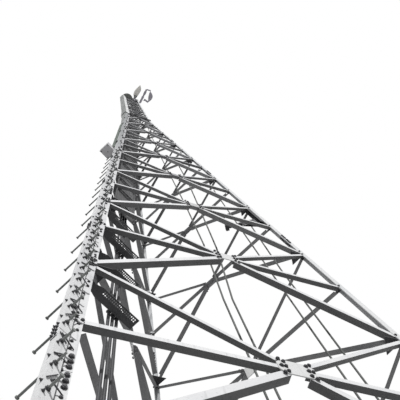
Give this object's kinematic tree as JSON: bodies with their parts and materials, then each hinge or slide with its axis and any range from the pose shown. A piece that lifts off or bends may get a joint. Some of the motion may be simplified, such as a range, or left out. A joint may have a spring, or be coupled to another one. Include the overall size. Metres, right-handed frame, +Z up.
{
  "type": "lattice tower",
  "caption": "Self-supporting steel lattice tower on three angle legs, with X-braced faces, a step-bolt climbing leg, feeder brackets and small antennas on a slim top shaft.",
  "frame": {"origin": "middle of the underside of foot plate A", "axes": "+Z up, +X from leg A along face AB to leg B, +Y into the tower"},
  "size_m": [4.4719, 3.921, 38.08],
  "materials": {
    "galvanised_steel": "matt zinc",
    "weathered_steel": "dull zinc",
    "cable_jacket": "matt",
    "grey_paint": "satin",
    "duct_paint": "satin",
    "radome": "matt"
  },
  "bodies": {
    "root": {"foot_a": "galvanised_steel", "foot_b": "galvanised_steel", "foot_c": "galvanised_steel", "leg_a_lower": "galvanised_steel", "leg_b_lower": "galvanised_steel", "leg_c_lower": "galvanised_steel", "leg_a_upper": "galvanised_steel", "leg_b_upper": "galvanised_steel", "leg_c_upper": "galvanised_steel", "top_legs": "galvanised_steel", "splices": "galvanised_steel", "leg_stiffeners": "galvanised_steel", "face_ab_low": "galvanised_steel", "face_bc_low": "galvanised_steel", "face_ca_low": "galvanised_steel", "face_ab_mid": "galvanised_steel", "face_bc_mid": "galvanised_steel", "face_ca_mid": "galvanised_steel", "face_ab_high": "galvanised_steel", "face_bc_high": "galvanised_steel", "face_ca_high": "galvanised_steel", "top_face_ab": "galvanised_steel", "top_face_bc": "galvanised_steel", "top_face_ca": "galvanised_steel", "gussets_ab": "galvanised_steel", "gussets_bc": "galvanised_steel", "gussets_ca": "galvanised_steel", "bend_frame": "galvanised_steel", "top_frame": "galvanised_steel", "guard_rail": "galvanised_steel", "rail_stand_offs": "galvanised_steel", "step_bolts": "galvanised_steel", "feeder_brackets_low": "weathered_steel", "feeder_brackets_high": "weathered_steel", "feeder_cables": "cable_jacket", "junction_box": "grey_paint", "riser_duct": "duct_paint", "top_cover": "galvanised_steel", "duct_clamps": "galvanised_steel", "inner_conduits": "weathered_steel", "side_arm": "weathered_steel", "panel_antenna": "radome", "antenna_arms": "galvanised_steel", "reflector": "grey_paint"}
  },
  "joints": []
}
